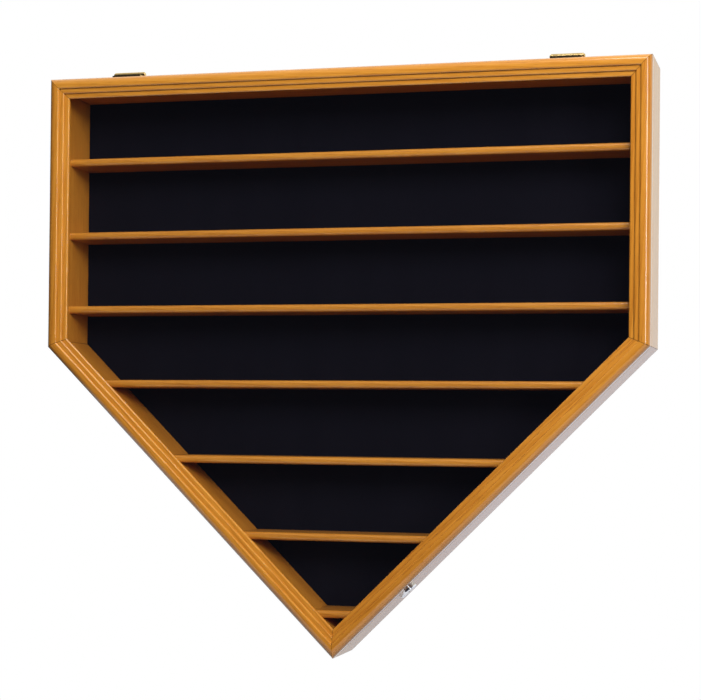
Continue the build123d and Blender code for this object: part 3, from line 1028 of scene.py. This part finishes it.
@dataclass
class Hardware:
    """Hinges, lock, strike, hangers, screws and brads."""

    pieces: dict[Metal, tuple[str, ...]] = field(
        default_factory=lambda: {
            Metal.HINGE_BRASS: (
                "left_hinge_case_leaf",
                "right_hinge_case_leaf",
                "left_hinge_door_leaf",
                "right_hinge_door_leaf",
                "left_hinge_pin",
                "right_hinge_pin",
            ),
            Metal.SCREW_BRASS: ("hinge_case_screws", "hinge_door_screws"),
            Metal.CHROME: ("lock_housing",),
            Metal.NICKEL: ("lock_plug",),
            Metal.STEEL: ("lock_nut", "lock_cam", "lock_cam_screw", "back_panel_brads"),
            Metal.ZINC: (
                "lock_strike",
                "lock_strike_screws",
                "left_wall_hanger",
                "right_wall_hanger",
                "wall_hanger_screws",
            ),
        }
    )

    def dress(self) -> None:
        """Give every metal piece its finish."""
        for metal, names in self.pieces.items():
            material = metal.value.dress(metal.name.lower())
            for name in names:
                wear_finish(name, material)


@dataclass(frozen=True)
class Camera:
    """Camera at the photograph's viewing angle, with a small rise for its framing."""

    focal_pixels: float = 1809.16
    picture_width: float = 701.0
    axis_below_middle: float = 60.5
    sensor: float = 36.0
    reach: Ramp = (0.05, 60.0)
    eye: tuple[float, float, float] = (0.58339, -2.18676, -0.42515)
    yaw: float = math.radians(15.0711)
    pitch: float = math.radians(0.5005)
    roll: float = math.radians(0.5831)

    def place(self) -> None:
        """Add the camera and make it the scene's."""
        lens = bpy.data.cameras.new("camera")
        lens.sensor_width = self.sensor
        lens.lens = self.focal_pixels / self.picture_width * self.sensor
        lens.shift_y = self.axis_below_middle / self.picture_width
        lens.clip_start, lens.clip_end = self.reach
        camera = bpy.data.objects.new("camera", lens)
        bpy.context.scene.collection.objects.link(camera)
        camera.matrix_world = Matrix.Translation(self.eye) @ self.turn().to_4x4()
        bpy.context.scene.camera = camera

    def turn(self) -> Matrix:
        """Work out the camera's axes.

        Returns:
            Its right, up and backward directions, as columns.
        """
        ahead = math.cos(self.pitch)
        forward = Vector((-math.sin(self.yaw) * ahead, math.cos(self.yaw) * ahead, math.sin(self.pitch)))
        level = Vector((math.cos(self.yaw), math.sin(self.yaw), 0.0))
        rise = level.cross(forward)
        right = level * math.cos(self.roll) + rise * math.sin(self.roll)
        up = rise * math.cos(self.roll) - level * math.sin(self.roll)
        return Matrix((right, up, -forward)).transposed()


@dataclass(frozen=True)
class Floor:
    """Pale floor that keeps the object's shadow, fades to white away from it and is clear from below."""

    size: float = 4.0
    height: float = -1.25
    pale: Colour = (0.90, 0.90, 0.90)
    fade: Ramp = (0.5, 1.7)

    def lay(self) -> None:
        """Add the floor."""
        start_afresh()
        bpy.ops.mesh.primitive_plane_add(size=self.size, location=(0.0, 0.0, self.height))
        floor = bpy.context.object
        floor.name = "floor"
        material = bpy.data.materials.new("pale_floor")
        shader = Shader(material)
        distance = shader.signal(
            "ShaderNodeVectorMath", {0: shader.object_place()}, output="Value", operation="LENGTH"
        )
        white = shader.rays("Camera", "Glossy") * distance.above(*self.fade)
        matt = shader.signal("ShaderNodeBsdfDiffuse", {"Color": rgba(self.pale)})
        glow = shader.signal("ShaderNodeEmission", {"Color": rgba(WHITE), "Strength": 1.0})
        top = shader.signal("ShaderNodeMixShader", {0: white, 1: matt, 2: glow})
        below = shader.signal("ShaderNodeNewGeometry", output="Backfacing")
        clear = shader.signal("ShaderNodeBsdfTransparent")
        surface = shader.signal("ShaderNodeMixShader", {0: below, 1: top, 2: clear})
        shader.node("ShaderNodeOutputMaterial", {"Surface": surface})
        floor.data.materials.append(material)
        floor.visible_diffuse = False


@dataclass(frozen=True)
class Surroundings:
    """White seen directly, a lit wall and a dim room in mirrors, and a soft sky for shade.

    Each ramp is over a share of a direction: right, behind the object, or up.
    """

    room: Colour = (0.025, 0.027, 0.040)
    wall_below: Colour = (0.87, 0.88, 0.98)
    wall_above: Colour = (1.0, 1.0, 0.90)
    wall_rise: Ramp = (-0.20, 0.12)
    wall_depth: Ramp = (-0.20, 0.30)
    wall_side: Ramp = (-0.45, -0.15)
    wall_lean: float = 0.6
    ceiling_rise: Ramp = (0.45, 0.90)
    ceiling_share: float = 0.5
    shade_low: Colour = (0.03, 0.03, 0.035)
    shade_high: Colour = (0.30, 0.30, 0.31)
    shade_rise: Ramp = (-0.1, 0.9)
    shade_lean: float = 0.3
    shade_behind: Colour = (0.62, 0.62, 0.62)
    shade_depth: Ramp = (-0.10, 0.70)

    def light(self) -> None:
        """Make the scene's world."""
        world = bpy.data.worlds.new("studio")
        bpy.context.scene.world = world
        shader = Shader(world)
        direction = shader.signal("ShaderNodeTexCoord", output="Generated")
        right, behind, up = shader.outputs("ShaderNodeSeparateXYZ", {0: direction})
        wall = shader.blend(up.above(*self.wall_rise), rgba(self.wall_below), rgba(self.wall_above))
        lit = behind.above(*self.wall_depth) * (right + up * self.wall_lean).above(*self.wall_side)
        mirrored = shader.blend(lit, rgba(self.room), wall)
        ceiling = up.above(*self.ceiling_rise) * self.ceiling_share
        mirrored = shader.blend(ceiling, mirrored, rgba(WHITE))
        rise = (up + right * self.shade_lean).above(*self.shade_rise)
        shade = shader.blend(rise, rgba(self.shade_low), rgba(self.shade_high))
        shade = shader.blend(behind.above(*self.shade_depth), shade, rgba(self.shade_behind))
        colour = shader.blend(shader.rays("Glossy"), shade, mirrored)
        colour = shader.blend(shader.rays("Camera", "Transmission"), colour, rgba(WHITE))
        background = shader.signal("ShaderNodeBackground", {"Color": colour, "Strength": 1.0})
        shader.node("ShaderNodeOutputWorld", {"Surface": background})


@dataclass(frozen=True)
class Lamp:
    """Soft rectangular lamp."""

    name: str
    place: tuple[float, float, float]
    size: tuple[float, float]
    power: float
    mirrored: bool = True

    def hang(self, target: Vector) -> None:
        """Add the lamp and aim it.

        Args:
            target: The point that it faces.
        """
        lamp = bpy.data.lights.new(self.name, "AREA")
        lamp.shape = "RECTANGLE"
        lamp.size, lamp.size_y = self.size
        lamp.energy = self.power
        stand = bpy.data.objects.new(self.name, lamp)
        stand.location = self.place
        stand.rotation_mode = "QUATERNION"
        stand.rotation_quaternion = (target - stand.location).to_track_quat("-Z", "Y")
        stand.visible_camera = False
        stand.visible_glossy = self.mirrored
        bpy.context.scene.collection.objects.link(stand)


@dataclass
class Studio:
    """Camera, pale floor, white surroundings and soft lamps."""

    camera: Camera = field(default_factory=Camera)
    floor: Floor = field(default_factory=Floor)
    surroundings: Surroundings = field(default_factory=Surroundings)
    lamps: tuple[Lamp, ...] = (
        Lamp("key_lamp", (0.90, -2.10, 0.80), (1.1, 1.0), 51.0, mirrored=False),
        Lamp("right_lamp", (2.20, -2.20, 0.15), (0.6, 0.9), 18.0),
        Lamp("top_lamp", (0.50, -1.10, 1.55), (0.8, 0.8), 14.0),
    )
    target: tuple[float, float, float] = (0.0, -0.05, -0.33)

    def build(self) -> None:
        """Set up everything round the object."""
        bpy.context.scene.view_settings.view_transform = "Standard"
        self.camera.place()
        self.floor.lay()
        self.surroundings.light()
        for lamp in self.lamps:
            lamp.hang(Vector(self.target))


def main() -> None:
    """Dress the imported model, piece by piece."""
    logging.basicConfig(level=logging.INFO, format="%(message)s")
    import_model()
    Woodwork(Outline.from_frame()).dress()
    log.info("woodwork dressed")
    Hardware().dress()
    log.info("hardware dressed")
    wear_finish("acrylic_panel", AcrylicFinish().dress("clear_acrylic"))
    log.info("clear panel dressed")
    wear_finish("back_panel", BoardFinish().dress("pressed_board"))
    log.info("back panel dressed")
    for part in (FeltLining(), DoorBumpers()):
        piece = part.build()
        log.info("%s built with %d faces", piece.name, len(piece.data.polygons))
    Studio().build()
    log.info("studio set up")


if __name__ == "__main__":
    main()
